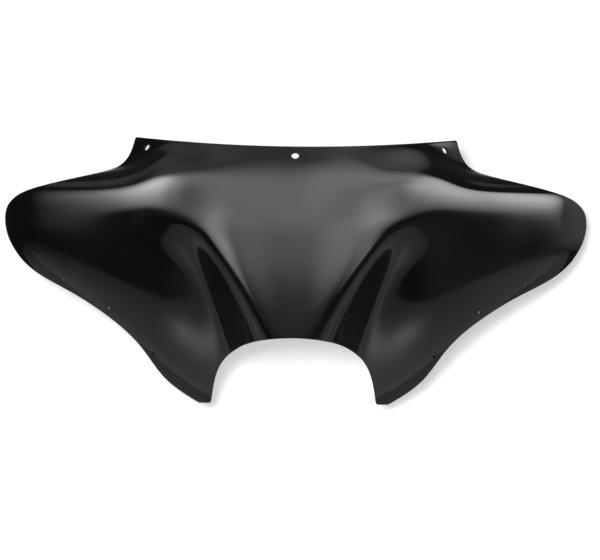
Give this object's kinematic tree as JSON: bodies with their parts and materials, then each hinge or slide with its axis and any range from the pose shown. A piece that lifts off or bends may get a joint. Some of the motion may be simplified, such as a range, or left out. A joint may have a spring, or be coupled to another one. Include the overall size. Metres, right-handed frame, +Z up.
{
  "type": "motorcycle fairing",
  "caption": "Handlebar fairing outer shell with wing-shaped sides, a bowed nose above a headlight cut-out, a leg on each side, and edge holes for a windshield and an inner panel.",
  "frame": {"origin": "centre of the middle windshield hole, at half the thickness of the sheet", "axes": "+X across the motorcycle to the rider's left, +Y backwards towards the rider, +Z up, as mounted"},
  "size_m": [0.8, 0.202, 0.3611],
  "materials": {
    "shell": "gloss black"
  },
  "bodies": {
    "root": {"fairing_shell": "shell"}
  },
  "joints": []
}
